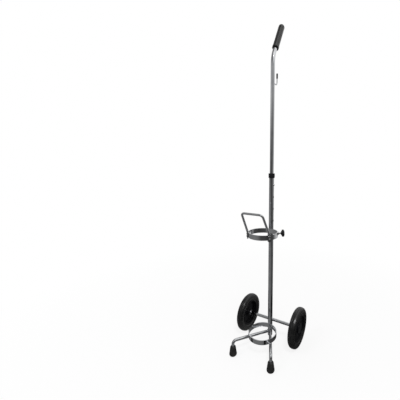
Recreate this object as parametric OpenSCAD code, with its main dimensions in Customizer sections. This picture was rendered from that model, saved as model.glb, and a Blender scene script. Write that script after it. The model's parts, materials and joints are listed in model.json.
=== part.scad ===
// Gas cylinder trolley with two wheels, two front feet and a telescopic pole.
// Two steel rings on the pole hold an upright cylinder.
// +Z is up, the axle lies along X, and the cylinder stands on the -Y side of the pole.
// The origin is on the floor, in the middle of the trolley's plan outline.

/* [Wheels] */
// Outside diameter of a tyre
wheel_d = 154; // [140:1:180]
// Width of the tyre across its sidewalls
tyre_w = 28; // [27:0.5:34]
// Radius of the tread's crown across the tyre
crown_r = 22; // [18:1:40]
// Depth below the tread at which the sidewalls are widest
side_drop = 12.5; // [11:0.5:13.5]
// Distance of a tread groove from the centre plane
tread_groove_at = 3.6; // [2.5:0.1:6]
// Radius of the tread grooves
tread_groove_r = 1; // [0.5:0.1:1.5]
// Height of the tyre from its seat on the rim to the tread
tyre_depth = 26; // [20:0.5:28]
// Distance between the centre planes of the wheels
track = 229; // [210:1:280]
// Width of the rim's seat under the tyre
rim_w = 19; // [17:0.5:22]
// Radial thickness of the rim under the tyre
rim_t = 5; // [4:0.5:8]
// Radius of the rounded bead along each edge of the rim
rim_bead_r = 2.5; // [1.5:0.1:3]
// Thickness of the web between hub and rim
web_t = 6; // [4:0.5:8]
// Distance of the web's middle from the centre plane, away from the pole
web_out = 3.5; // [2:0.5:5]
// Outside diameter of the hub barrel
hub_d = 30; // [26:0.5:36]
// Reach of the hub barrel from the centre plane towards the pole
hub_in = 8; // [6:0.5:12]
// Reach of the hub barrel from the centre plane away from the pole
hub_out = 1; // [0:0.5:3]
// Outside diameter of the hub bush
bush_d = 16; // [14:0.5:18]
// Thickness of the flange on the hub bush
bush_flange_t = 1.5; // [1:0.1:2.5]
// Diameter of the flange on the hub bush
bush_flange_d = 20; // [19:0.5:26]
// Radius of the hollow rounds beside the web
web_fillet = 2; // [1:0.1:3]
// Inside diameter of the cup that takes the hub cap
cup_d = 34; // [30:0.5:40]
// Wall of the cup that takes the hub cap
cup_wall = 2; // [1.5:0.1:3]
// Thickness of the cup's floor round the hub barrel
cup_floor_t = 4; // [3:0.5:6]
// Thickness of the hub cap
cap_t = 1.6; // [1.2:0.1:2]
// Rise of the dome on the hub cap
cap_rise = 1.5; // [1:0.1:2.5]
// Length of the hub cap's skirt inside the cup
cap_skirt_h = 4; // [3:0.5:6]

/* [Axle] */
// Diameter of the axle between the wheels
axle_d = 12; // [12:0.5:16]
// Diameter of the turned axle ends that carry the wheels
axle_end_d = 10; // [8:0.5:11]
// Outside diameter of the axle washers
washer_d = 20; // [18:0.5:26]
// Thickness of the axle washers
washer_t = 1.5; // [1:0.1:2.5]
// Width across the flats of the axle nuts
nut_af = 16; // [14:0.5:18]
// Height of the axle nuts
nut_h = 5; // [4:0.5:7]
// Length of axle that stands out of the nut
axle_proud = 1; // [0.5:0.1:2]
// End play of a wheel at each washer
wheel_play = 0.3; // [0.2:0.05:0.6]

/* [Pole] */
// Outside diameter of the lower pole
pole_d = 19; // [18:0.5:25]
// Wall of the lower pole
pole_wall = 1.5; // [1:0.1:1.8]
// Height of the lower pole's bottom end
pole_bottom_z = 21; // [14:1:24]
// Head height of the plug in the pole's bottom end
plug_h = 3; // [2:0.5:5]
// Radius of the plug's rounded edge
plug_round = 1.5; // [0.5:0.1:1.9]
// Length of the plug's shank inside the pole
plug_shank = 12; // [8:1:14]
// Height of the collar's lower edge
collar_z = 665.5; // [660:0.5:720]
// Height of the collar at the top of the lower pole
collar_h = 18.5; // [15:0.5:26]
// Outside diameter of the collar
collar_d = 24; // [23:0.5:30]
// Thickness of the collar's lip round the handle tube
collar_lip = 4; // [3:0.5:6]
// Radius of the collar's rounded lower edge
collar_round = 4.5; // [0.5:0.1:5]
// Diameter of the adjusting holes in the pole
hole_d = 7.2; // [6:0.1:9]
// Height of the topmost adjusting hole
top_hole_z = 640; // [620:1:650]
// Distance between adjusting holes
hole_pitch = 46; // [30:1:50]
// Number of adjusting holes
hole_count = 4; // [2:1:4]

/* [Handle] */
// Outside diameter of the handle tube
handle_d = 15; // [14:0.1:15.4]
// Wall of the handle tube
handle_wall = 1.2; // [1:0.1:1.5]
// Length of handle tube below the snap button
handle_tail = 34; // [30:1:38]
// Height at which the two straight runs of the handle tube would meet
bend_z = 1100; // [1050:1:1150]
// Radius of the handle bend
bend_r = 100; // [70:1:140]
// Lean of the grip towards the rear, in degrees
handle_lean = 28; // [15:0.5:40]
// Distance from the bend's corner to the end of the grip
grip_reach = 152; // [148:0.5:190]
// Length of the grip
grip_len = 112; // [90:0.5:118]
// Outside diameter of the grip
grip_d = 23; // [21:0.5:28]
// Radius of the grip's rounded end
grip_round = 8; // [4:0.5:9]
// Thickness of the grip beyond the end of the tube
grip_end_t = 6; // [4:0.5:10]
// Width of the bead at the grip's lower end
grip_bead_w = 8; // [4:0.5:12]
// Height of the bead above the grip
grip_bead_h = 0.8; // [0.4:0.1:2.5]
// Radius of the bead's rounded edge
grip_bead_round = 0.8; // [0.4:0.1:2]
// Number of shallow grooves round the grip
grip_grooves = 9; // [4:1:10]
// Distance between the grooves round the grip
grip_groove_pitch = 9; // [6:0.5:9]
// Depth of the grooves round the grip
grip_groove_depth = 0.35; // [0.3:0.05:1]

/* [Snap button] */
// Diameter of the snap button
button_d = 6.6; // [5.4:0.1:6.6]
// Height of the snap button above the pole
button_proud = 2.5; // [1.5:0.1:3]
// Radius of the snap button's rounded end
button_round = 1.6; // [0.5:0.1:2]
// Thickness of the button's leaf spring
leaf_t = 0.8; // [0.5:0.1:1]
// Width of the button's leaf spring
leaf_w = 6.4; // [5:0.1:6.4]
// Length of the straight legs of the leaf spring
leaf_len = 26; // [20:1:26]
// Gap between the leaf spring and the wall of the handle tube
leaf_gap = 1.3; // [1.2:0.1:1.5]

/* [Hook] */
// Diameter of the hook wire
hook_d = 4; // [3.5:0.1:4.4]
// Distance of the hook's arm below the corner of the handle tube
hook_drop = 88; // [75:1:110]
// Distance from the pole axis to the hook's upright
hook_reach = 36; // [30:1:45]
// Height of the hook's tip above its arm
hook_rise = 42; // [34:1:50]
// Bend radius of the hook wire
hook_bend_r = 10; // [8:0.5:14]
// Length of the tip on the hook
tip_len = 18; // [14:0.5:20]
// Outside diameter of the tip on the hook
tip_d = 6.2; // [5.8:0.1:8]
// Radius of the tip's rounded end
tip_round = 1.5; // [0.5:0.1:2]
// Thickness of the tip beyond the end of the wire
tip_end_t = 2; // [1.5:0.1:3]

/* [Rings] */
// Inside diameter of both rings
ring_bore_d = 104; // [90:1:115]
// Thickness of the ring strip
ring_t = 3; // [2:0.1:4]
// Width of the ring strip
ring_h = 18; // [16:0.5:26]
// Height of the middle of the upper ring
upper_ring_z = 462.5; // [440:0.5:470]

/* [Front loop] */
// Diameter of the loop's rod
loop_d = 8; // [6:0.5:10]
// Angle of the loop's feet forward of the ring's sides, in degrees
loop_angle = 38; // [25:1:40]
// Lean of the loop towards the front, in degrees
loop_lean = 30; // [10:0.5:35]
// Height of the loop's top bar above the middle of the ring
loop_rise = 87.5; // [70:0.5:110]
// Distance between the loop's legs at the top bar
loop_top_w = 82; // [70:1:100]
// Bend radius of the loop's corners
loop_bend_r = 12; // [10:0.5:18]
// Thickness of the loop's flattened feet
tab_t = 4; // [3:0.1:5]
// Width of the loop's flattened feet
tab_w = 12; // [11:0.5:14]
// Length of a flattened foot below the ring
tab_drop = 6; // [4.5:0.5:9]
// Length of a flattened foot above the ring
tab_top = 6; // [5:0.5:9]
// Diameter of the rivet shanks
rivet_d = 4; // [3:0.1:5]
// Diameter of the rivet heads
rivet_head_d = 7.5; // [6:0.1:8]
// Height of the rivet heads
rivet_head_h = 2; // [1.5:0.1:2.5]
// Radius of the rivet heads' rounded edge
rivet_head_round = 1.4; // [0.6:0.1:1.4]
// Distance between the two rivets of a foot
rivet_pitch = 9; // [8.5:0.1:9.5]

/* [Clamp screw] */
// Angle of the clamp screw behind the ring's side, in degrees
clamp_angle = 39; // [20:1:45]
// Diameter of the clamp screw
screw_d = 6; // [5:0.5:7]
// Width across the flats of the weld nut
weld_nut_af = 11; // [10:0.5:13]
// Height of the weld nut on the ring
weld_nut_h = 4.5; // [4:0.1:5.5]
// Distance from the ring's outside to the knob
knob_gap = 13; // [13:0.5:16]
// Diameter of the knob
knob_d = 27; // [22:0.5:34]
// Height of the knob's tapered neck
knob_neck_h = 5; // [3:0.5:8]
// Diameter of the knob's neck at the screw
knob_neck_d = 11; // [9:0.5:14]
// Height of the knob's rim
knob_rim_h = 6; // [4:0.5:9]
// Radius of the rounded edges of the knob's rim
knob_round = 2; // [1:0.1:2]
// Number of finger flutes round the knob
knob_flutes = 10; // [6:1:12]
// Diameter of the cutter that leaves a finger flute
flute_d = 7; // [5:0.5:8]
// Depth of a finger flute
flute_depth = 1.2; // [0.6:0.1:2]
// Diameter of the swivel tip on the screw
swivel_d = 8; // [7:0.1:9]
// Diameter of the spigot that holds the swivel tip in the screw
spigot_d = 3; // [2:0.1:3.5]
// Length of the spigot inside the screw
spigot_len = 5; // [3:0.5:8]

/* [Legs and feet] */
// Diameter of the leg rods
leg_d = 11; // [10:0.5:14]
// Height at which the legs meet the pole axis
leg_root_z = 36; // [33:0.5:40]
// Height of the corner at the front of a leg
leg_corner_z = 60; // [56:0.5:70]
// Bend radius of a leg
leg_bend_r = 12; // [11:0.5:18]
// Distance of a foot from the middle of the trolley
foot_x = 80; // [70:1:110]
// Distance of a foot in front of the pole axis
foot_y = 148; // [140:1:190]
// Height of a foot
foot_h = 38.5; // [34:0.5:41]
// Diameter of a foot where it is widest, above its rounded base
foot_d = 28.5; // [26:0.5:34]
// Diameter of a foot below its rounded shoulder
foot_top_d = 21; // [18:0.5:23]
// Radius of a foot's rounded base
foot_round = 8; // [4:0.5:9]
// Radius of a foot's rounded shoulder
foot_shoulder = 4; // [1:0.5:5]
// Rubber left under the end of the leg
foot_floor = 8; // [5:0.5:12]

/* [Fits] */
// Gap at welds and pressed seats
seat_gap = 0.05; // [0.02:0.01:0.1]
// Radial clearance of turning and sliding fits
run_gap = 0.08; // [0.05:0.01:0.1]
// Free clearance round parts that move without guiding
free_gap = 0.3; // [0.3:0.05:0.5]

/* [Hidden] */
$fn = 96;
// Overshoot of cutters, and the size of cutters that only need to be large enough
cut = 1;
far = 400;
// Lap of a bend into the straight runs beside it, and how much thinner its radius is
bend_lap = 0.4;
bend_thinning = 0.04;

// Wheel and axle stations, counted outwards from a wheel's centre plane
tread_r = wheel_d / 2;
rim_r = tread_r - tyre_depth;
rim_inner_r = rim_r - rim_t;
rim_half_w = rim_w / 2;
bush_r = bush_d / 2;
cup_r = cup_d / 2;
shoulder_in = hub_in + bush_flange_t + wheel_play + washer_t;
outer_washer_at = hub_out + wheel_play;
nut_at = outer_washer_at + washer_t;
axle_end_at = nut_at + nut_h + axle_proud;
cap_seat_at = axle_end_at + free_gap;
axle_z = tread_r;

// Pole, collar and handle
pole_r = pole_d / 2;
pole_bore_r = pole_r - pole_wall;
pole_top_z = collar_z + collar_h - collar_lip - seat_gap;
handle_r = handle_d / 2;
handle_bore_r = handle_r - handle_wall;
handle_bottom_z = top_hole_z - handle_tail;
tube_end_reach = grip_reach - grip_end_t;
hook_z = bend_z - hook_drop;
axle_y = pole_r + seat_gap + axle_d / 2;

// Rings, placed against the front of the pole
ring_r = ring_bore_d / 2 + ring_t;
ring_y = -(pole_r + seat_gap + ring_r);

// Legs: straight from the pole axis to the corner, then down into the feet
leg_heading = atan2(foot_y, foot_x);
leg_span = norm([foot_x, foot_y]);
leg_slope = atan2(leg_corner_z - leg_root_z, leg_span);
leg_end_z = foot_floor + seat_gap;

// The base ring rests on the legs where they pass under its front
to_ring = -ring_y * sin(leg_heading);
ring_crossing = to_ring + sqrt(pow(to_ring, 2) - pow(ring_y, 2) + pow(ring_r, 2));
base_ring_bottom_z = leg_root_z + ring_crossing * tan(leg_slope) + leg_d / 2 / cos(leg_slope) + seat_gap;
base_ring_z = base_ring_bottom_z + ring_h / 2;

// Front loop
tab_mid_r = ring_r + seat_gap + tab_t / 2;
loop_x = tab_mid_r * cos(loop_angle);
loop_y = ring_y - tab_mid_r * sin(loop_angle);
loop_start_z = ring_h / 2 + tab_top - loop_d / 2;
loop_len = (loop_rise - loop_start_z) / cos(loop_lean);

// Clamp screw, along the ring's radius
swivel_t = ring_t - 2 * free_gap;
swivel_out_r = ring_r - free_gap;
screw_tip_r = ring_r + free_gap / 2;
knob_r = ring_r + knob_gap;

// Plan outline, which sets the origin
grip_axis_end = grip_reach - grip_round;
grip_rear = grip_axis_end * sin(handle_lean) + (grip_d / 2 - grip_round) * cos(handle_lean) + grip_round;
front_reach = foot_y + foot_d / 2;
rear_reach = max(grip_rear, axle_y + tread_r);
pole_y = (front_reach - rear_reach) / 2;

chrome = [0.74, 0.75, 0.77];
steel = [0.62, 0.63, 0.65];
black = [0.08, 0.08, 0.09];
rubber = [0.05, 0.05, 0.05];
nylon = [0.85, 0.84, 0.80];

// Heading of the line from a to b, and the turn at b on the way from a to c
function heading(a, b) = atan2(b[1] - a[1], b[0] - a[0]);
function wrap(t) = t > 180 ? t - 360 : t < -180 ? t + 360 : t;
function turn(a, b, c) = wrap(heading(b, c) - heading(a, b));

// Length that a bend takes off each straight run at point i
function trim_at(pts, i, r) =
    i == 0 || i == len(pts) - 1 ? 0 : r * tan(abs(turn(pts[i - 1], pts[i], pts[i + 1])) / 2);

// Round rod along a flat path, with every corner bent to radius r.
// A bend is a hair thinner than the straight runs and laps into both of them.
module bent_rod(pts, d, r) {
    lap = asin(bend_lap / r);
    for (i = [0 : len(pts) - 2]) {
        run = norm(pts[i + 1] - pts[i]) - trim_at(pts, i, r) - trim_at(pts, i + 1, r);
        translate(pts[i]) rotate([0, 0, heading(pts[i], pts[i + 1])])
            translate([trim_at(pts, i, r), 0, 0]) rotate([0, 90, 0]) cylinder(d = d, h = run);
    }
    for (i = [1 : len(pts) - 2]) {
        t = turn(pts[i - 1], pts[i], pts[i + 1]);
        translate(pts[i]) rotate([0, 0, heading(pts[i - 1], pts[i])])
            translate([-trim_at(pts, i, r), sign(t) * r, 0]) rotate([0, 0, (t > 0 ? -90 : 90 + t) - lap])
                rotate_extrude(angle = abs(t) + 2 * lap)
                    translate([r, 0]) circle(d = d - 2 * bend_thinning);
    }
}

// Moves a shape from the pole's own axes to the trolley's origin
module on_pole() {
    translate([0, pole_y, 0]) children();
}

// Stands a flat path up in the plane of the pole and the handle bend
module in_side_plane() {
    on_pole() rotate([90, 0, 90]) children();
}

// Puts +Z along the axle, outwards from the wheel on the given side
module at_wheel(side) {
    on_pole() translate([side * track / 2, axle_y, axle_z])
        rotate([0, 0, side > 0 ? 0 : 180]) rotate([0, 90, 0]) children();
}

// Puts +X along the ring's radius at the given angle, at the height of the upper ring
module at_ring(angle) {
    on_pole() translate([0, ring_y, upper_ring_z]) rotate([0, 0, angle]) children();
}

// Round hole or pin along +X, from one radius to another
module radial(d, from, to) {
    translate([from, 0, 0]) rotate([0, 90, 0]) cylinder(d = d, h = to - from);
}

// Flat shape that fills the corner between +X and +Y with a hollow quarter round
module corner_fill(r) {
    difference() {
        square(r);
        translate([r, r]) circle(r);
    }
}

// Half profile of a round bar with a rounded end, standing on the X axis
module round_end_profile(r, h, edge) {
    intersection() {
        union() {
            square([r, h - edge]);
            square([r - edge, h]);
            translate([r - edge, h - edge]) circle(edge);
        }
        square([r, h]);
    }
}

module washer(d, bore, h) {
    difference() {
        cylinder(d = d, h = h);
        translate([0, 0, -cut]) cylinder(d = bore, h = h + 2 * cut);
    }
}

module hex_nut(af, bore, h) {
    difference() {
        cylinder(d = af / cos(30), h = h, $fn = 6);
        translate([0, 0, -cut]) cylinder(d = bore, h = h + 2 * cut);
    }
}

module lower_pole() {
    pole_len = pole_top_z - pole_bottom_z;
    color(chrome) on_pole() difference() {
        translate([0, 0, pole_bottom_z]) cylinder(d = pole_d, h = pole_len);
        translate([0, 0, pole_bottom_z - cut]) cylinder(r = pole_bore_r, h = pole_len + 2 * cut);
        for (i = [0 : hole_count - 1])
            translate([0, 0, top_hole_z - i * hole_pitch]) radial(hole_d, 0, pole_d);
    }
}

module pole_end_plug() {
    color(black) on_pole() translate([0, 0, pole_bottom_z - seat_gap]) {
        mirror([0, 0, 1]) rotate_extrude() round_end_profile(pole_r, plug_h, plug_round);
        cylinder(r = pole_bore_r - seat_gap, h = plug_shank);
    }
}

module pole_collar() {
    sleeve_h = collar_h - collar_lip;
    color(black) on_pole() translate([0, 0, collar_z]) difference() {
        translate([0, 0, collar_h]) mirror([0, 0, 1])
            rotate_extrude() round_end_profile(collar_d / 2, collar_h, collar_round);
        translate([0, 0, -cut]) cylinder(r = pole_r + seat_gap, h = sleeve_h + cut);
        cylinder(r = handle_r + run_gap, h = collar_h + cut);
    }
}

module axle() {
    mid = track - 2 * shoulder_in;
    whole = track + 2 * axle_end_at;
    color(chrome) on_pole() translate([0, axle_y, axle_z]) rotate([0, 90, 0]) {
        cylinder(d = axle_d, h = mid, center = true);
        cylinder(d = axle_end_d, h = whole, center = true);
    }
}

module leg(side) {
    color(chrome) on_pole() difference() {
        rotate([0, 0, -90 + side * (90 - leg_heading)]) rotate([90, 0, 0])
            bent_rod([[0, leg_root_z], [leg_span, leg_corner_z], [leg_span, leg_end_z]], leg_d, leg_bend_r);
        translate([0, 0, leg_root_z - pole_d]) cylinder(r = pole_r + seat_gap, h = 2 * pole_d);
        translate([side > 0 ? seat_gap - far : -seat_gap, -far / 2, -far / 2]) cube(far);
    }
}

module left_leg() {
    leg(-1);
}

module right_leg() {
    leg(1);
}

// Bell of rubber: rounded base, tapered wall and rounded shoulder
module foot(side) {
    base_r = foot_d / 2;
    top_r = foot_top_d / 2;
    shoulder_z = foot_h - foot_shoulder;
    color(rubber) on_pole() translate([side * foot_x, -foot_y, 0]) rotate_extrude() difference() {
        union() {
            intersection() {
                polygon([[0, 0], [base_r, 0], [base_r, foot_round], [top_r, shoulder_z], [0, shoulder_z]]);
                translate([0, foot_h]) mirror([0, 1]) round_end_profile(base_r, foot_h, foot_round);
            }
            translate([0, shoulder_z - foot_shoulder])
                round_end_profile(top_r, 2 * foot_shoulder, foot_shoulder);
        }
        translate([0, foot_floor]) square([leg_d / 2 + seat_gap, foot_h]);
    }
}

module left_foot() {
    foot(-1);
}

module right_foot() {
    foot(1);
}

module ring_band() {
    rotate_extrude() translate([ring_bore_d / 2, -ring_h / 2]) square([ring_t, ring_h]);
}

module base_ring() {
    color(chrome) on_pole() translate([0, ring_y, base_ring_z]) ring_band();
}

// Runs its children at both feet of the loop, with +X along the ring's radius
module at_loop_feet() {
    for (angle = [-loop_angle, 180 + loop_angle])
        at_ring(angle) children();
}

module at_rivets() {
    for (k = [-0.5, 0.5])
        translate([0, 0, k * rivet_pitch]) children();
}

module upper_ring() {
    color(chrome) difference() {
        at_ring(0) ring_band();
        at_loop_feet() at_rivets() radial(rivet_d + 2 * seat_gap, 0, ring_r + cut);
        at_ring(clamp_angle) radial(swivel_d + 2 * free_gap, 0, ring_r + cut);
    }
}

// Flattened foot of the loop, curved to lie on the ring, with a round lower end
module loop_tab() {
    tab_h = ring_h + tab_drop + tab_top;
    low_z = -ring_h / 2 - tab_drop;
    difference() {
        intersection() {
            translate([0, 0, low_z]) difference() {
                cylinder(r = tab_mid_r + tab_t / 2, h = tab_h);
                translate([0, 0, -cut]) cylinder(r = tab_mid_r - tab_t / 2, h = tab_h + 2 * cut);
            }
            union() {
                translate([0, 0, low_z + tab_w / 2]) radial(tab_w, 0, far);
                translate([0, -tab_w / 2, low_z + tab_w / 2]) cube([far, tab_w, tab_h]);
            }
        }
        at_rivets() radial(rivet_d + 2 * seat_gap, 0, far);
    }
}

module front_loop() {
    top_x = loop_top_w / 2;
    loop_path = [[-loop_x, 0], [-top_x, loop_len], [top_x, loop_len], [loop_x, 0]];
    color(chrome) {
        at_loop_feet() loop_tab();
        on_pole() translate([0, loop_y, upper_ring_z + loop_start_z]) rotate([90 + loop_lean, 0, 0])
            bent_rod(loop_path, loop_d, loop_bend_r);
    }
}

module loop_rivets() {
    head_at = tab_mid_r + tab_t / 2 + seat_gap;
    color(steel) at_loop_feet() at_rivets() {
        radial(rivet_d, ring_bore_d / 2 + seat_gap, head_at + rivet_head_h / 2);
        translate([head_at, 0, 0]) rotate([0, 90, 0])
            rotate_extrude() round_end_profile(rivet_head_d / 2, rivet_head_h, rivet_head_round);
    }
}

module clamp_nut() {
    color(steel) difference() {
        at_ring(clamp_angle) translate([ring_bore_d / 2, 0, 0]) rotate([0, 90, 0])
            hex_nut(weld_nut_af, screw_d + 2 * run_gap, ring_t + weld_nut_h);
        at_ring(0) cylinder(r = ring_r + seat_gap, h = 2 * weld_nut_af, center = true);
    }
}

module clamp_swivel_tip() {
    color(nylon) at_ring(clamp_angle) {
        radial(swivel_d, swivel_out_r - swivel_t, swivel_out_r);
        radial(spigot_d, swivel_out_r - swivel_t / 2, screw_tip_r + spigot_len);
    }
}

module clamp_screw() {
    color(steel) at_ring(clamp_angle) difference() {
        radial(screw_d, screw_tip_r, knob_r + knob_neck_h);
        radial(spigot_d + 2 * run_gap, screw_tip_r - cut, screw_tip_r + spigot_len + free_gap);
    }
}

module clamp_knob() {
    knob_h = knob_neck_h + knob_rim_h;
    flute_at = (knob_d + flute_d) / 2 - flute_depth;
    color(black) at_ring(clamp_angle) translate([knob_r, 0, 0]) rotate([0, 90, 0]) difference() {
        union() {
            cylinder(d1 = knob_neck_d, d2 = knob_d - 2 * knob_round, h = knob_neck_h);
            translate([0, 0, knob_neck_h]) rotate_extrude() {
                round_end_profile(knob_d / 2, knob_rim_h, knob_round);
                mirror([0, 1]) translate([0, -2 * knob_round])
                    round_end_profile(knob_d / 2, 2 * knob_round, knob_round);
            }
        }
        translate([0, 0, -cut]) cylinder(d = screw_d + 2 * seat_gap, h = knob_neck_h + cut + seat_gap);
        for (i = [0 : knob_flutes - 1])
            rotate([0, 0, i * 360 / knob_flutes]) translate([flute_at, 0, knob_neck_h / 2])
                cylinder(d = flute_d, h = knob_h);
    }
}

// Corners of the handle tube's path, with a length added at both ends
function handle_path(extra) = [
    [0, handle_bottom_z - extra],
    [0, bend_z],
    [(tube_end_reach + extra) * sin(handle_lean), bend_z + (tube_end_reach + extra) * cos(handle_lean)]
];

module handle_tube() {
    color(chrome) difference() {
        in_side_plane() bent_rod(handle_path(0), handle_d, bend_r);
        in_side_plane() bent_rod(handle_path(cut), 2 * handle_bore_r, bend_r);
        on_pole() translate([0, 0, top_hole_z]) radial(button_d + 2 * run_gap, 0, handle_d);
    }
}

module handle_grip() {
    first_groove = (grip_len - (grip_grooves - 1) * grip_groove_pitch) / 2;
    color(rubber) on_pole() translate([0, 0, bend_z]) rotate([-handle_lean, 0, 0])
        translate([0, 0, grip_reach - grip_len]) rotate_extrude() difference() {
            union() {
                round_end_profile(grip_d / 2, grip_len, grip_round);
                translate([0, grip_bead_w]) mirror([0, 1])
                    round_end_profile(grip_d / 2 + grip_bead_h, grip_bead_w, grip_bead_round);
            }
            translate([0, -cut]) square([handle_r + seat_gap, grip_len - grip_end_t + cut + seat_gap]);
            for (i = [0 : grip_grooves - 1])
                translate([grip_d / 2, first_groove + i * grip_groove_pitch]) circle(grip_groove_depth);
        }
}

module snap_button() {
    leaf_out = handle_bore_r - leaf_gap;
    button_h = pole_r + button_proud - leaf_out - run_gap;
    color(steel) on_pole() translate([leaf_out + run_gap, 0, top_hole_z]) rotate([0, 90, 0])
        rotate_extrude() round_end_profile(button_d / 2, button_h, button_round);
}

// U shaped leaf: two upright legs joined by a half round at the bottom
module button_spring() {
    leaf_out = handle_bore_r - leaf_gap;
    color(steel) on_pole() translate([0, 0, top_hole_z + button_d / 2]) rotate([90, 0, 0])
        linear_extrude(leaf_w, center = true) {
            for (left = [-leaf_out, leaf_out - leaf_t])
                translate([left, -leaf_len]) square([leaf_t, leaf_len]);
            translate([0, -leaf_len]) intersection() {
                difference() {
                    circle(leaf_out);
                    circle(leaf_out - leaf_t);
                }
                translate([-leaf_out, -leaf_out]) square([2 * leaf_out, leaf_out]);
            }
        }
}

module hook_wire() {
    top = hook_z + hook_rise - tip_end_t;
    hook_path = [[0, hook_z], [hook_reach, hook_z], [hook_reach, top]];
    color(chrome) difference() {
        in_side_plane() bent_rod(hook_path, hook_d, hook_bend_r);
        on_pole() translate([0, 0, hook_z - handle_d]) cylinder(r = handle_r + seat_gap, h = 2 * handle_d);
    }
}

module hook_tip() {
    tip_z = hook_z + hook_rise - tip_len;
    color(black) on_pole() translate([0, hook_reach, tip_z]) rotate_extrude() difference() {
        round_end_profile(tip_d / 2, tip_len, tip_round);
        translate([0, -cut]) square([hook_d / 2 + seat_gap, tip_len - tip_end_t + cut + seat_gap]);
    }
}

// Solid tyre: straight beads on the rim, round sidewalls, and a crowned tread with two grooves
module tyre(side) {
    widest_r = tread_r - side_drop;
    crown_at = tread_r - crown_r;
    groove_r = crown_at + sqrt(pow(crown_r, 2) - pow(tread_groove_at, 2));
    color(rubber) at_wheel(side) rotate_extrude() difference() {
        union() {
            translate([rim_r, -rim_half_w]) square([widest_r - rim_r, rim_w]);
            intersection() {
                translate([widest_r, 0]) circle(tyre_w / 2);
                translate([crown_at, 0]) circle(crown_r, $fn = 360);
            }
        }
        translate([0, -tyre_w]) square([rim_r + seat_gap, 2 * tyre_w]);
        for (at = [-tread_groove_at, tread_groove_at])
            translate([groove_r, at]) circle(tread_groove_r);
    }
}

module left_tyre() {
    tyre(-1);
}

module right_tyre() {
    tyre(1);
}

// Moulded rim: seat ring with beaded edges, web, cup for the cap and hub barrel under the cup
module rim(side) {
    hub_r = hub_d / 2;
    cup_out_r = cup_r + cup_wall;
    cup_low = hub_out - cup_floor_t;
    color(black) at_wheel(side) rotate_extrude() {
        translate([rim_inner_r, -rim_half_w]) square([rim_t, rim_w]);
        for (edge = [-1, 1])
            translate([rim_r - rim_bead_r, edge * rim_half_w]) circle(rim_bead_r);
        translate([cup_out_r - cut, web_out - web_t / 2]) square([rim_inner_r - cup_out_r + 2 * cut, web_t]);
        translate([bush_r + seat_gap, -hub_in]) square([hub_r - bush_r - seat_gap, hub_in + hub_out]);
        translate([hub_r - cut, cup_low]) square([cup_out_r - hub_r + cut, cup_floor_t]);
        translate([cup_r, cup_low]) square([cup_wall, cap_seat_at - cup_low]);
        translate([0, web_out]) for (face = [0, 1]) mirror([0, face]) {
            translate([rim_inner_r, web_t / 2]) mirror([1, 0]) corner_fill(web_fillet);
            translate([cup_out_r, web_t / 2]) corner_fill(web_fillet);
        }
        translate([hub_r, cup_low]) mirror([0, 1]) corner_fill(web_fillet);
    }
}

module left_rim() {
    rim(-1);
}

module right_rim() {
    rim(1);
}

module bush(side) {
    bush_h = hub_in + hub_out + bush_flange_t;
    color(black) at_wheel(side) translate([0, 0, -hub_in - bush_flange_t]) difference() {
        union() {
            cylinder(d = bush_d, h = bush_h);
            cylinder(d = bush_flange_d, h = bush_flange_t - seat_gap);
        }
        translate([0, 0, -cut]) cylinder(d = axle_end_d + 2 * run_gap, h = bush_h + 2 * cut);
    }
}

module left_bush() {
    bush(-1);
}

module right_bush() {
    bush(1);
}

// Domed cap with a skirt that presses into the rim's cup
module hub_cap(side) {
    edge_r = cup_r + cup_wall;
    dome_r = (pow(edge_r, 2) + pow(cap_rise, 2)) / (2 * cap_rise);
    base = cap_seat_at + seat_gap;
    skirt_r = cup_r - seat_gap;
    color(black) at_wheel(side) rotate_extrude() {
        translate([0, base]) square([edge_r, cap_t]);
        intersection() {
            translate([0, base + cap_t + cap_rise - dome_r]) circle(dome_r, $fn = 360);
            translate([0, base + cap_t]) square([edge_r, cap_rise + cut]);
        }
        translate([skirt_r - cap_t, base - cap_skirt_h]) square([cap_t, cap_skirt_h + cap_t / 2]);
    }
}

module left_hub_cap() {
    hub_cap(-1);
}

module right_hub_cap() {
    hub_cap(1);
}

module at_both_wheels() {
    for (side = [-1, 1])
        at_wheel(side) children();
}

module inner_washers() {
    color(chrome) at_both_wheels() translate([0, 0, -shoulder_in])
        washer(washer_d, axle_end_d + 2 * seat_gap, washer_t);
}

module outer_washers() {
    color(chrome) at_both_wheels() translate([0, 0, outer_washer_at])
        washer(washer_d, axle_end_d + 2 * seat_gap, washer_t);
}

module axle_nuts() {
    color(steel) at_both_wheels() translate([0, 0, nut_at])
        hex_nut(nut_af, axle_end_d + 2 * seat_gap, nut_h);
}

lower_pole();
pole_end_plug();
pole_collar();
axle();
left_leg();
right_leg();
left_foot();
right_foot();
base_ring();
upper_ring();
front_loop();
loop_rivets();
clamp_nut();
clamp_swivel_tip();
clamp_screw();
clamp_knob();
handle_tube();
handle_grip();
snap_button();
button_spring();
hook_wire();
hook_tip();
left_tyre();
left_rim();
left_bush();
left_hub_cap();
right_tyre();
right_rim();
right_bush();
right_hub_cap();
inner_washers();
outer_washers();
axle_nuts();
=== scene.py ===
"""Gas cylinder trolley: materials, small forms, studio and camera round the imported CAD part."""

import json
import math

import bmesh
import bpy
from mathutils import Matrix, Vector, noise


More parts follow.
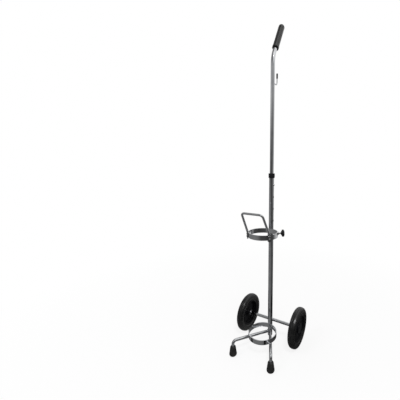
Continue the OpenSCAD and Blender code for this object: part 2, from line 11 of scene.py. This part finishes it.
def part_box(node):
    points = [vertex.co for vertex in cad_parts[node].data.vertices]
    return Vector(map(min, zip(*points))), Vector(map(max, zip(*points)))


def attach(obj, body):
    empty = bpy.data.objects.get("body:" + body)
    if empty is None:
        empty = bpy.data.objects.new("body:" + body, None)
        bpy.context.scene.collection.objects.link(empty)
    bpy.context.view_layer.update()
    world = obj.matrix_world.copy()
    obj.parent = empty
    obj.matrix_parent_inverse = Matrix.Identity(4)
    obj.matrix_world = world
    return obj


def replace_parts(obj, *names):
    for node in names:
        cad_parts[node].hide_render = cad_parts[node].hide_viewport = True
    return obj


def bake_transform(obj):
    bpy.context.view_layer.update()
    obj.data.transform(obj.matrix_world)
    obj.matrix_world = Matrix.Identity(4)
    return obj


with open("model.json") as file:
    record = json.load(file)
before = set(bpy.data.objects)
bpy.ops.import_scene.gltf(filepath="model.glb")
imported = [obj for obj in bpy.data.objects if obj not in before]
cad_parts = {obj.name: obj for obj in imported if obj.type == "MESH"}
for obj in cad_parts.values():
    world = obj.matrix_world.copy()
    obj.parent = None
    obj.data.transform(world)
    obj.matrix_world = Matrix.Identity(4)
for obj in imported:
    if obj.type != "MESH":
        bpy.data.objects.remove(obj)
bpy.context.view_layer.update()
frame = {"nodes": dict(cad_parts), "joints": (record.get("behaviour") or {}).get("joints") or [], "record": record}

MM = 0.001
nodes = frame["nodes"]
slots = {part["node"]: part["material_slot"] for part in frame["record"]["subparts"]}
mounts = {mount["name"]: Vector(mount["pos_m"]) for mount in frame["record"]["mounts"]}
joints = {joint["name"]: joint for joint in frame["joints"]}


def middle(node):
    low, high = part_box(node)
    return (low + high) / 2


def half_width(node):
    low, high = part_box(node)
    return (high.x - low.x) / 2


# Places and sizes of the CAD pieces; the ring's wall and the leg's sizes repeat those in part.scad

POLE = Vector((0, middle("lower_pole").y, 0))
POLE_R = half_width("lower_pole")
RING = mounts["upper_ring_bore"]
RING_R = half_width("upper_ring")
RING_WALL = 3 * MM
LEG_R = 5.5 * MM
LEG_ROOT = POLE + Vector((0, 0, 36 * MM))
LEG_CORNER_Z = 60 * MM


# Materials

PATCH_DETAIL = 4.0
GRAIN_DETAIL = 2.0
ROUGH_LIFT = 0.2
RELIEF_STRENGTH = 0.6


def add_node(tree, kind, inputs=None, **settings):
    """New shader node; each input is a value, or the socket that feeds it."""
    node = tree.nodes.new(kind)
    for key, value in settings.items():
        setattr(node, key, value)
    for key, value in (inputs or {}).items():
        if isinstance(value, bpy.types.NodeSocket):
            tree.links.new(value, node.inputs[key])
        else:
            node.inputs[key].default_value = value
    return node


def add_math(tree, operation, *values):
    made = add_node(tree, "ShaderNodeMath", dict(enumerate(values)), operation=operation)
    return made.outputs["Value"]


def add_noise(tree, place, scale, detail):
    made = add_node(tree, "ShaderNodeTexNoise", {"Vector": place, "Scale": scale, "Detail": detail})
    return made.outputs["Fac"]


def add_range(tree, value, low, high, start=0.35, end=0.65):
    """Number from low to high while the value goes from start to end."""
    made = add_node(tree, "ShaderNodeMapRange",
                    {"Value": value, "From Min": start, "From Max": end, "To Min": low, "To Max": high})
    return made.outputs["Result"]


def add_ramp(tree, value, low, high, start=0.3, end=0.7):
    """Colour from low to high while the value goes from start to end."""
    ramp = add_node(tree, "ShaderNodeValToRGB", {"Fac": value})
    for stop, position, colour in zip(ramp.color_ramp.elements, (start, end), (low, high)):
        stop.position = position
        stop.color = (*colour, 1)
    return ramp.outputs["Color"]


def surface(name, dark, light, patch, rough, grain, bump, metallic=0.0, specular=0.5):
    """Material with patches of two colours, roughness that wanders with them, and a fine grain.

    patch and grain are the scales of the two noises per metre, rough the least and most roughness,
    and bump the height of the grain in millimetres.
    """
    made = bpy.data.materials.new(name)
    made.use_nodes = True
    tree = made.node_tree
    shader = tree.nodes["Principled BSDF"]
    shader.inputs["Metallic"].default_value = metallic
    shader.inputs["Specular IOR Level"].default_value = specular
    place = add_node(tree, "ShaderNodeTexCoord").outputs["Object"]
    patches = add_noise(tree, place, patch, PATCH_DETAIL)
    grains = add_noise(tree, place, grain, GRAIN_DETAIL)
    wander = add_math(tree, "MULTIPLY_ADD", patches, grains, ROUGH_LIFT)
    tree.links.new(add_ramp(tree, patches, dark, light), shader.inputs["Base Color"])
    tree.links.new(add_range(tree, wander, *rough), shader.inputs["Roughness"])
    relief = add_node(tree, "ShaderNodeBump",
                      {"Height": grains, "Distance": bump * MM, "Strength": RELIEF_STRENGTH})
    tree.links.new(relief.outputs["Normal"], shader.inputs["Normal"])
    return made


materials = {
    "chrome": surface("chrome_plate", dark=(0.54, 0.55, 0.57), light=(0.66, 0.67, 0.68),
                      patch=40, rough=(0.05, 0.13), grain=300, bump=0.002, metallic=1.0),
    "steel": surface("zinc_steel", dark=(0.46, 0.47, 0.48), light=(0.60, 0.60, 0.60),
                     patch=220, rough=(0.22, 0.38), grain=1600, bump=0.03, metallic=1.0),
    "black_plastic": surface("moulded_plastic", dark=(0.006, 0.006, 0.007), light=(0.012, 0.012, 0.013),
                             patch=90, rough=(0.30, 0.44), grain=900, bump=0.02, specular=0.22),
    "nylon": surface("nylon", dark=(0.66, 0.65, 0.60), light=(0.80, 0.79, 0.74),
                     patch=150, rough=(0.35, 0.50), grain=1200, bump=0.03),
    "rubber": surface("soft_rubber", dark=(0.009, 0.009, 0.009), light=(0.018, 0.018, 0.017),
                      patch=120, rough=(0.36, 0.50), grain=900, bump=0.02, specular=0.25),
    "tyre": surface("tyre_rubber", dark=(0.004, 0.004, 0.004), light=(0.008, 0.008, 0.008),
                    patch=70, rough=(0.22, 0.32), grain=700, bump=0.02),
}
rim_plastic = surface("rim_plastic", dark=(0.003, 0.003, 0.004), light=(0.006, 0.006, 0.007),
                      patch=90, rough=(0.32, 0.46), grain=900, bump=0.02, specular=0.12)
special = {
    "handle_grip": surface("grip_rubber", dark=(0.007, 0.007, 0.007), light=(0.011, 0.011, 0.010),
                           patch=120, rough=(0.26, 0.34), grain=400, bump=0.01),
    "left_rim": rim_plastic,
    "right_rim": rim_plastic,
    "inner_washers": surface("dull_washer", dark=(0.20, 0.20, 0.21), light=(0.32, 0.32, 0.33),
                             patch=200, rough=(0.30, 0.45), grain=700, bump=0.01, metallic=1.0),
}
for node, piece in nodes.items():
    piece.data.materials.clear()
    piece.data.materials.append(special.get(node, materials[slots[node]]))


# Small forms

TUBE_SIDES = 10


def circle(count):
    """Angles spread evenly round a circle."""
    return [2 * math.pi * k / count for k in range(count)]


def spread(low, high, count):
    """Numbers or points spread evenly from low to high, with both of them."""
    return [low + (high - low) * k / (count - 1) for k in range(count)]


def make_piece(name, points, faces, body, slot):
    mesh = bpy.data.meshes.new(name)
    mesh.from_pydata([tuple(p) for p in points], [], faces)
    skin = bmesh.new()
    skin.from_mesh(mesh)
    bmesh.ops.recalc_face_normals(skin, faces=skin.faces)
    skin.to_mesh(mesh)
    skin.free()
    mesh.polygons.foreach_set("use_smooth", [True] * len(mesh.polygons))
    piece = bpy.data.objects.new(name, mesh)
    bpy.context.scene.collection.objects.link(piece)
    mesh.materials.append(materials[slot])
    if body:
        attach(piece, body)
    return piece


def join_rings(rings, closed):
    """Points and faces of a skin over equal rings; an open skin gets a cap at both ends."""
    count, size = len(rings), len(rings[0])
    points = [p for ring in rings for p in ring]
    faces = []
    for i in range(count if closed else count - 1):
        a, b = i * size, (i + 1) % count * size
        faces += [(a + k, a + (k + 1) % size, b + (k + 1) % size, b + k) for k in range(size)]
    if not closed:
        faces.append(tuple(range(size))[::-1])
        faces.append(tuple(range((count - 1) * size, count * size)))
    return points, faces


def tube_rings(path, sizes, closed):
    """Round rings of the given radii along a path, each turned as little as it can be from the last."""
    rings = []
    across = None
    last = len(path) - 1
    for i, centre in enumerate(path):
        before = path[i - 1] if closed or i > 0 else centre
        after = path[(i + 1) % len(path)] if closed or i < last else centre
        along = (after - before).normalized()
        across = along.orthogonal() if across is None else across - along * across.dot(along)
        across.normalize()
        up = along.cross(across)
        rings.append([centre + (across * math.cos(turn) + up * math.sin(turn)) * sizes[i]
                      for turn in circle(TUBE_SIDES)])
    return rings


def make_tubes(name, tubes, body, slot):
    """One piece of several tubes, each (path, radii, closed)."""
    points, faces = [], []
    for path, sizes, closed in tubes:
        more, skin = join_rings(tube_rings(path, sizes, closed), closed)
        faces += [tuple(k + len(points) for k in face) for face in skin]
        points += more
    make_piece(name, points, faces, body, slot)


# Weld beads

RING_BEAD = 1.1 * MM
LEG_BEAD = 1.3 * MM
AXLE_BEAD = 1.0 * MM
HOOK_BEAD = 0.7 * MM
NUT_BEAD = 0.9 * MM


def weld_sizes(path, radius, closed, seed):
    """Radii along a weld bead: lumpy, and thinner towards the ends of an open bead."""
    end_share, end_steps = 0.25, 3
    lump, ripple, lumps_per_metre = 0.2, 2.1, 700
    last = len(path) - 1
    sizes = []
    for i, centre in enumerate(path):
        ends = 1
        if not closed:
            ends = end_share + (1 - end_share) * math.sqrt(min(1, min(i, last - i) / end_steps))
        wave = math.sin(i * ripple + seed) + noise.noise(centre * lumps_per_metre + Vector((seed, 0, 0)))
        sizes.append(radius * ends * (1 + lump * wave))
    return sizes


def make_weld(name, beads, body="frame"):
    """One piece of several weld beads, each (path, radius, closed)."""
    tubes = []
    for seed, (path, radius, closed) in enumerate(beads):
        tubes.append((path, weld_sizes(path, radius, closed, seed), closed))
    make_tubes(name, tubes, body, "chrome")


def ring_welds(ring_node):
    """Two upright beads in the corners between a ring and the pole."""
    side, lift, edge, count = 4.2 * MM, 0.4 * MM, 0.8 * MM, 16
    low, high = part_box(ring_node)
    y = POLE.y - POLE_R + lift
    beads = []
    for x in (-side, side):
        path = spread(Vector((x, y, low.z + edge)), Vector((x, y, high.z - edge)), count)
        beads.append((path, RING_BEAD, False))
    return beads


def leg_along(side):
    """Direction of a leg, from its root in the pole to the corner above its foot."""
    foot = mounts["left_foot_face" if side < 0 else "right_foot_face"]
    return Vector((foot.x, foot.y - POLE.y, LEG_CORNER_Z - LEG_ROOT.z)).normalized()


def leg_root_weld(side):
    """Path of a bead along the line where a leg runs into the pole, up to the middle plane."""
    from_middle, count = 0.6 * MM, 61
    along = leg_along(side)
    across = Vector((along.y, -along.x, 0)).normalized() * side
    up = across.cross(along).normalized()
    path = []
    for turn in spread(-math.pi, math.pi, count):
        wall = (-across * math.cos(turn) + up * math.sin(turn)) * LEG_R
        a = along.x ** 2 + along.y ** 2
        b = along.x * wall.x + along.y * wall.y
        c = wall.x ** 2 + wall.y ** 2 - POLE_R ** 2
        point = LEG_ROOT + along * ((-b + math.sqrt(b * b - a * c)) / a) + wall
        if point.x * side > from_middle:
            path.append(point)
    return path


def ring_leg_welds(side):
    """Two short beads where the base ring rests on a leg, outside and inside the ring."""
    from_wall, half_length, count = 0.3 * MM, 4.4 * MM, 14
    along = leg_along(side)
    flat = Vector((along.x, along.y, 0)).normalized()
    slope = along.z / math.hypot(along.x, along.y)
    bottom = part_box("base_ring")[0].z
    bore = mounts["base_ring_bore"]
    centre = Vector((bore.x, bore.y, 0))
    to_ring = (centre - POLE).dot(flat)
    beads = []
    for radius in (RING_R + from_wall, RING_R - RING_WALL - from_wall):
        reach = to_ring + math.sqrt(to_ring ** 2 - (centre - POLE).length_squared + radius ** 2)
        crossing = POLE + flat * reach - centre
        bearing = math.atan2(crossing.y, crossing.x)
        path = []
        for aside in spread(-half_length, half_length, count):
            turn = bearing + aside / radius
            point = centre + Vector((math.cos(turn), math.sin(turn), 0)) * radius
            out = (point - POLE).dot(flat)
            off_line = (point - POLE - flat * out).length
            top = LEG_ROOT.z + out * slope + math.sqrt(max(0, LEG_R ** 2 - off_line ** 2))
            path.append(Vector((point.x, point.y, (top + bottom) / 2)))
        beads.append((path, RING_BEAD, False))
    return beads


def axle_weld():
    """Path of an oval bead round the place where the axle lies against the back of the pole."""
    gap, first, step, count = 1.1 * MM, 0.5 * MM, 0.05 * MM, 32
    low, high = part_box("axle")
    axle_r = (high.y - low.y) / 2
    axle = middle("axle")
    path = []
    for turn in circle(count):
        size, apart = first, 0
        while apart <= gap:
            x, z = size * math.cos(turn), size * math.sin(turn)
            front = axle.y - math.sqrt(max(0, axle_r ** 2 - z * z))
            back = POLE.y + math.sqrt(max(0, POLE_R ** 2 - x * x))
            apart = front - back
            size += step
        path.append(Vector((x, (front + back) / 2, axle.z + z)))
    return path


def hook_weld():
    """Path of a bead round the hook wire where it runs into the handle tube."""
    count = 20
    wire_r = half_width("hook_wire")
    wire_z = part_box("hook_wire")[0].z + wire_r
    tube_r = half_width("handle_tube")
    path = []
    for turn in circle(count):
        x, z = wire_r * math.cos(turn), wire_r * math.sin(turn)
        path.append(Vector((x, POLE.y + math.sqrt(tube_r ** 2 - x * x), wire_z + z)))
    return path


def nut_weld():
    """Two beads above and below the clamp nut on the ring."""
    radius, half_turn, count = 6.0 * MM, math.radians(55), 12
    out = -Vector(joints["clamp_turn"]["axis"])
    across = Vector((-out.y, out.x, 0))
    beads = []
    for upright_turn in (math.pi / 2, 3 * math.pi / 2):
        path = []
        for turn in spread(upright_turn - half_turn, upright_turn + half_turn, count):
            aside, z = radius * math.cos(turn), radius * math.sin(turn)
            outward = math.sqrt(RING_R ** 2 - aside ** 2)
            path.append(RING + out * outward + across * aside + Vector((0, 0, z)))
        beads.append((path, NUT_BEAD, False))
    return beads


# Clamp screw, leaf spring and tyre lines


def make_thread():
    """Clamp screw with a right-hand thread and the bore for the swivel tip's spigot."""
    start, end = RING_R + 0.15 * MM, RING_R + 18 * MM
    crest, root, pitch = 3.0 * MM, 2.55 * MM, 1.0 * MM
    flank, trough, end_height = 1.3, 0.1, 0.15
    bore, depth = 1.58 * MM, 5.3 * MM
    sides, per_pitch = 32, 10
    out = -Vector(joints["clamp_turn"]["axis"])
    across = out.orthogonal().normalized()
    up = out.cross(across)

    def thread(reach, turn):
        phase = (reach / pitch - turn / (2 * math.pi)) % 1
        height = min(1, max(0, flank * (1 - abs(2 * phase - 1)) - trough))
        ends = min(1, min(reach - start, end - reach) / pitch + end_height)
        return root + (crest - root) * height * ends

    def ring(reach, radius=None):
        return [RING + out * reach
                + (across * math.cos(turn) + up * math.sin(turn)) * (radius or thread(reach, turn))
                for turn in circle(sides)]

    rings = [ring(start + depth, bore), ring(start, bore)]
    for k in range(round((end - start) / pitch * per_pitch) + 1):
        rings.append(ring(min(start + k * pitch / per_pitch, end)))
    points, faces = join_rings(rings, False)
    piece = make_piece("threaded_screw", points, faces, "clamp_screw", "steel")
    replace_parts(piece, "clamp_screw")


def strip_ring(point, out, width):
    """Section of a flat spring strip with broken edges, inwards from a point on its outer face."""
    thick, edge = 0.8 * MM, 0.15 * MM
    half = width / 2
    outline = [(0, edge - half), (0, half - edge), (-edge, half), (edge - thick, half),
               (-thick, half - edge), (-thick, edge - half), (edge - thick, -half), (-edge, -half)]
    return [point + out * u + Vector((0, v, 0)) for u, v in outline]


def make_spring():
    """Leaf spring under the snap button: the arm and its bend ride on the handle, and the leg at the button is
    made as a separate piece on no body.
    """
    arm_count, bend_count, leg_count = 9, 19, 28
    low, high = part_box("button_spring")
    reach, width = half_width("button_spring"), high.y - low.y
    centre = Vector((0, POLE.y, low.z + reach))
    rings = []
    for z in spread(high.z, centre.z, arm_count)[:-1]:
        rings.append(strip_ring(Vector((-reach, POLE.y, z)), Vector((-1, 0, 0)), width))
    for turn in spread(math.pi, 2 * math.pi, bend_count):
        out = Vector((math.cos(turn), 0, math.sin(turn)))
        rings.append(strip_ring(centre + out * reach, out, width))
    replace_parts(make_piece("spring_bend", *join_rings(rings, False), "handle", "steel"), "button_spring")
    rings = []
    for z in spread(centre.z, high.z, leg_count):
        rings.append(strip_ring(Vector((reach, POLE.y, z)), Vector((1, 0, 0)), width))
    leg = make_piece("spring_leg", *join_rings(rings, False), None, "steel")
    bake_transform(leg)


def make_sidewall_lines(side):
    """Two raised lines round each sidewall of a tyre."""
    radii, reach = (57.5 * MM, 71.5 * MM), 12.15 * MM
    line_r, count = 0.45 * MM, 120
    name = "left" if side < 0 else "right"
    hub = Vector(joints[f"{name}_wheel_spin"]["pos_m"])
    tubes = []
    for radius in radii:
        for x in (-reach, reach):
            path = [hub + Vector((x, radius * math.cos(turn), radius * math.sin(turn)))
                    for turn in circle(count)]
            tubes.append((path, [line_r] * count, True))
    make_tubes(f"{name}_sidewall_lines", tubes, f"{name}_wheel", "tyre")


make_weld("upper_ring_weld", ring_welds("upper_ring"))
make_weld("base_ring_weld", ring_welds("base_ring"))
make_weld("leg_root_weld", [(leg_root_weld(side), LEG_BEAD, False) for side in (-1, 1)])
make_weld("leg_ring_weld", [bead for side in (-1, 1) for bead in ring_leg_welds(side)])
make_weld("axle_weld", [(axle_weld(), AXLE_BEAD, True)])
make_weld("hook_weld", [(hook_weld(), HOOK_BEAD, True)], "handle")
make_weld("nut_weld", nut_weld())
make_thread()
make_spring()
for side in (-1, 1):
    make_sidewall_lines(side)


# Studio floor, world and lamps

WHITE = (1, 1, 1, 1)


def seen_rays(tree):
    """One for rays that show the background: from the camera, mirrored, or through a clear surface."""
    path = add_node(tree, "ShaderNodeLightPath").outputs
    seen = add_math(tree, "MAXIMUM", path["Is Camera Ray"], path["Is Glossy Ray"])
    return add_math(tree, "MAXIMUM", seen, path["Is Transmission Ray"])


def empty_material(name):
    made = bpy.data.materials.new(name)
    made.use_nodes = True
    made.node_tree.nodes.clear()
    return made


def make_floor():
    """Pale floor that keeps the shadow near the trolley and goes over into the white background."""
    size, pale = 60, (0.9, 0.9, 0.9, 1)
    near, far = 0.25, 1.3
    near_share, far_share = 0.84, 1.0
    bpy.ops.mesh.primitive_plane_add(size=size, location=(0, 0, 0))
    floor = bpy.context.object
    floor.name = "floor"
    made = empty_material("pale_floor")
    tree = made.node_tree
    place = add_node(tree, "ShaderNodeTexCoord").outputs["Object"]
    away = add_node(tree, "ShaderNodeVectorMath", {0: place}, operation="LENGTH").outputs["Value"]
    white_share = add_range(tree, away, near_share, far_share, near, far)
    share = add_math(tree, "MULTIPLY", seen_rays(tree), white_share)
    matt = add_node(tree, "ShaderNodeBsdfDiffuse", {"Color": pale})
    white = add_node(tree, "ShaderNodeEmission", {"Color": WHITE, "Strength": 1.0})
    mixed = add_node(tree, "ShaderNodeMixShader",
                     {0: share, 1: matt.outputs["BSDF"], 2: white.outputs["Emission"]})
    add_node(tree, "ShaderNodeOutputMaterial", {"Surface": mixed.outputs["Shader"]})
    floor.data.materials.append(made)


def make_world():
    """White background for the rays that show it, and a dimmer light all round."""
    all_round = 0.55
    world = bpy.data.worlds.new("studio")
    bpy.context.scene.world = world
    world.use_nodes = True
    tree = world.node_tree
    tree.nodes.clear()
    dim = add_node(tree, "ShaderNodeBackground", {"Color": WHITE, "Strength": all_round})
    white = add_node(tree, "ShaderNodeBackground", {"Color": WHITE, "Strength": 1.0})
    mixed = add_node(tree, "ShaderNodeMixShader",
                     {0: seen_rays(tree), 1: dim.outputs["Background"], 2: white.outputs["Background"]})
    add_node(tree, "ShaderNodeOutputWorld", {"Surface": mixed.outputs["Shader"]})


def make_lamp(name, place, target, size, power, mirrored):
    """Round lamp that faces a target; mirrored says whether it shows in reflections."""
    data = bpy.data.lights.new(name, "AREA")
    data.shape = "DISK"
    data.size = size
    data.energy = power
    lamp = bpy.data.objects.new(name, data)
    bpy.context.scene.collection.objects.link(lamp)
    lamp.location = place
    lamp.rotation_euler = (Vector(target) - Vector(place)).to_track_quat("-Z", "Y").to_euler()
    lamp.visible_glossy = mirrored


make_floor()
make_world()
make_lamp("key_lamp", place=(1.37, -1.55, 3.5), target=(0, 0, 0.4), size=0.8, power=60, mirrored=True)
make_lamp("fill_lamp", place=(-1.1, -1.9, 2.3), target=(0, 0, 0.5), size=1.0, power=16, mirrored=False)


# Painted reflections: grey panels that glow and show only in reflections, which the chrome mirrors: dark in front
# and at the left, light behind and high up on the right, where the dome's patch brighter than white paints a
# highlight

PANEL_STEP = 4
PANEL_LIFT = 0.5 * MM
PANEL_REACH = 3.2
DOME_CENTRE = 1.0
DOME_R = 3.0
DOME_RISES = (27, 38, 50, 58, 66, 74, 84)

# Distance and height of each row of points

FLOOR_ROWS = [(distance, PANEL_LIFT) for distance in (0.01, 1.0, 1.6, PANEL_REACH)]
WALL_ROWS = [(PANEL_REACH, z) for z in (0, 0.6, 1.25, 1.85, 2.8)]
DOME_ROWS = [(DOME_R * math.cos(math.radians(rise)), DOME_CENTRE + DOME_R * math.sin(math.radians(rise)))
             for rise in DOME_RISES]

# Azimuth of each stop, then its glow strength at every row, which sets how light the painted reflection is there

FLOOR_STOPS = (
    (-150, 0.12, 0.40, 0.50, 0.45),
    (-115, 0.22, 0.22, 0.22, 0.22),
    (-35, 0.20, 0.20, 0.25, 0.25),
    (-10, 0.21, 0.20, 0.22, 0.20),
    (13, 0.21, 0.18, 0.08, 0.08),
    (44, 0.18, 0.12, 0.07, 0.07),
    (66, 0.08, 0.08, 0.05, 0.07),
    (110, 0.05, 0.05, 0.08, 0.18),
    (140, 0.06, 0.10, 0.60, 0.50),
    (165, 0.12, 0.45, 0.75, 0.50),
    (210, 0.12, 0.40, 0.50, 0.45),
)
WALL_STOPS = (
    (-150, 0.45, 0.70, 0.80, 0.80, 0.90),
    (-120, 0.40, 0.60, 0.60, 0.60, 0.60),
    (-95, 0.22, 0.17, 0.20, 0.35, 0.40),
    (-35, 0.25, 0.14, 0.24, 0.58, 0.45),
    (-15, 0.22, 0.12, 0.24, 0.58, 0.45),
    (13, 0.08, 0.05, 0.16, 0.42, 0.40),
    (44, 0.07, 0.09, 0.11, 0.25, 0.40),
    (66, 0.07, 0.14, 0.20, 0.32, 0.60),
    (105, 0.20, 0.34, 0.42, 0.55, 1.0),
    (150, 0.50, 0.50, 0.55, 0.65, 1.0),
    (210, 0.45, 0.70, 0.80, 0.80, 0.90),
)
DOME_STOPS = (
    (-150, 0.8, 0.9, 1.0, 1.0, 1.0, 1.0, 1.0),
    (-130, 0.40, 0.30, 0.30, 0.35, 0.40, 0.15, 0.15),
    (0, 0.40, 0.25, 0.22, 0.25, 0.30, 0.15, 0.15),
    (20, 0.40, 0.26, 0.30, 0.6, 0.8, 0.8, 1.0),
    (34, 0.45, 0.40, 1.0, 1.6, 1.3, 1.0, 1.0),
    (50, 0.7, 0.9, 1.2, 1.6, 1.3, 1.0, 1.0),
    (66, 1.0, 1.0, 1.0, 1.2, 1.0, 1.0, 1.0),
)


def out_at(azimuth, distance, z):
    turn = math.radians(azimuth)
    return (math.sin(turn) * distance, -math.cos(turn) * distance, z)


def level_at(azimuth, stops):
    """Glow strengths of the painted reflection at an azimuth, between the stops on both sides of it."""
    for (before, *low), (after, *high) in zip(stops, stops[1:]):
        if before <= azimuth <= after:
            share = (azimuth - before) / (after - before)
            return [p + (q - p) * share for p, q in zip(low, high)]


def make_painted_reflection(name, rows, stops):
    """Grey panel that glows and shows only in reflections: a painted reflection whose glow strength at each point
    comes from the stops.
    """
    first, last = stops[0][0], stops[-1][0]
    bearings = spread(first, last, round((last - first) / PANEL_STEP) + 1)
    points = [out_at(bearing, distance, z) for bearing in bearings for distance, z in rows]
    size = len(rows)
    faces = [(i * size + k, (i + 1) * size + k, (i + 1) * size + k + 1, i * size + k + 1)
             for i in range(len(bearings) - 1) for k in range(size - 1)]
    mesh = bpy.data.meshes.new(name)
    mesh.from_pydata(points, [], faces)
    levels = mesh.attributes.new("level", "FLOAT", "POINT")
    levels.data.foreach_set("value", [level for bearing in bearings for level in level_at(bearing, stops)])
    panel = bpy.data.objects.new(name, mesh)
    bpy.context.scene.collection.objects.link(panel)
    made = empty_material(name)
    made.cycles.emission_sampling = "NONE"
    tree = made.node_tree
    # the glow strength at each point sets how light the painted reflection is
    strength = add_node(tree, "ShaderNodeAttribute", attribute_name="level").outputs["Fac"]
    glow = add_node(tree, "ShaderNodeEmission", {"Color": WHITE, "Strength": strength})
    add_node(tree, "ShaderNodeOutputMaterial", {"Surface": glow.outputs["Emission"]})
    mesh.materials.append(made)
    panel.visible_camera = False
    panel.visible_diffuse = False
    panel.visible_transmission = False
    panel.visible_shadow = False


# Painted reflections of a floor, a wall round the trolley and a dome above it, glowing only in reflections
make_painted_reflection("floor_painted_reflection", FLOOR_ROWS, FLOOR_STOPS)
make_painted_reflection("wall_painted_reflection", WALL_ROWS, WALL_STOPS)
make_painted_reflection("dome_painted_reflection", DOME_ROWS, DOME_STOPS)


# Camera, fitted to the bare trolley in the photograph

AZIMUTH = math.radians(27.283)
DISTANCE = 0.932097
HEIGHT = 0.706153
PITCH = math.radians(7.593)
ROLL = math.radians(0.6)
FOCAL_PX = 243.655
CENTRE_X_PX = 271.409
FRAME_PX = 400
SENSOR = 36.0
CLIP_START = 0.01


def make_camera():
    """Camera at AZIMUTH from the pole, pitched down, rolled a little and shifted sideways."""
    upright = Vector((0, 0, 1))
    right = Vector((math.cos(AZIMUTH), math.sin(AZIMUTH), 0))
    ahead = Vector((-math.sin(AZIMUTH), math.cos(AZIMUTH), 0))
    forward = ahead * math.cos(PITCH) - upright * math.sin(PITCH)
    up = ahead * math.sin(PITCH) + upright * math.cos(PITCH)
    camera_x = right * math.cos(ROLL) + up * math.sin(ROLL)
    camera_y = up * math.cos(ROLL) - right * math.sin(ROLL)
    data = bpy.data.cameras.new("camera")
    data.sensor_width = SENSOR
    data.lens = FOCAL_PX / FRAME_PX * SENSOR
    data.shift_x = (FRAME_PX / 2 - CENTRE_X_PX) / FRAME_PX
    data.clip_start = CLIP_START
    camera = bpy.data.objects.new("camera", data)
    bpy.context.scene.collection.objects.link(camera)
    axes = Matrix((camera_x, camera_y, -forward)).transposed().to_4x4()
    camera.matrix_world = Matrix.Translation(POLE - ahead * DISTANCE + upright * HEIGHT) @ axes
    bpy.context.scene.camera = camera


make_camera()
bpy.context.scene.view_settings.view_transform = "Standard"
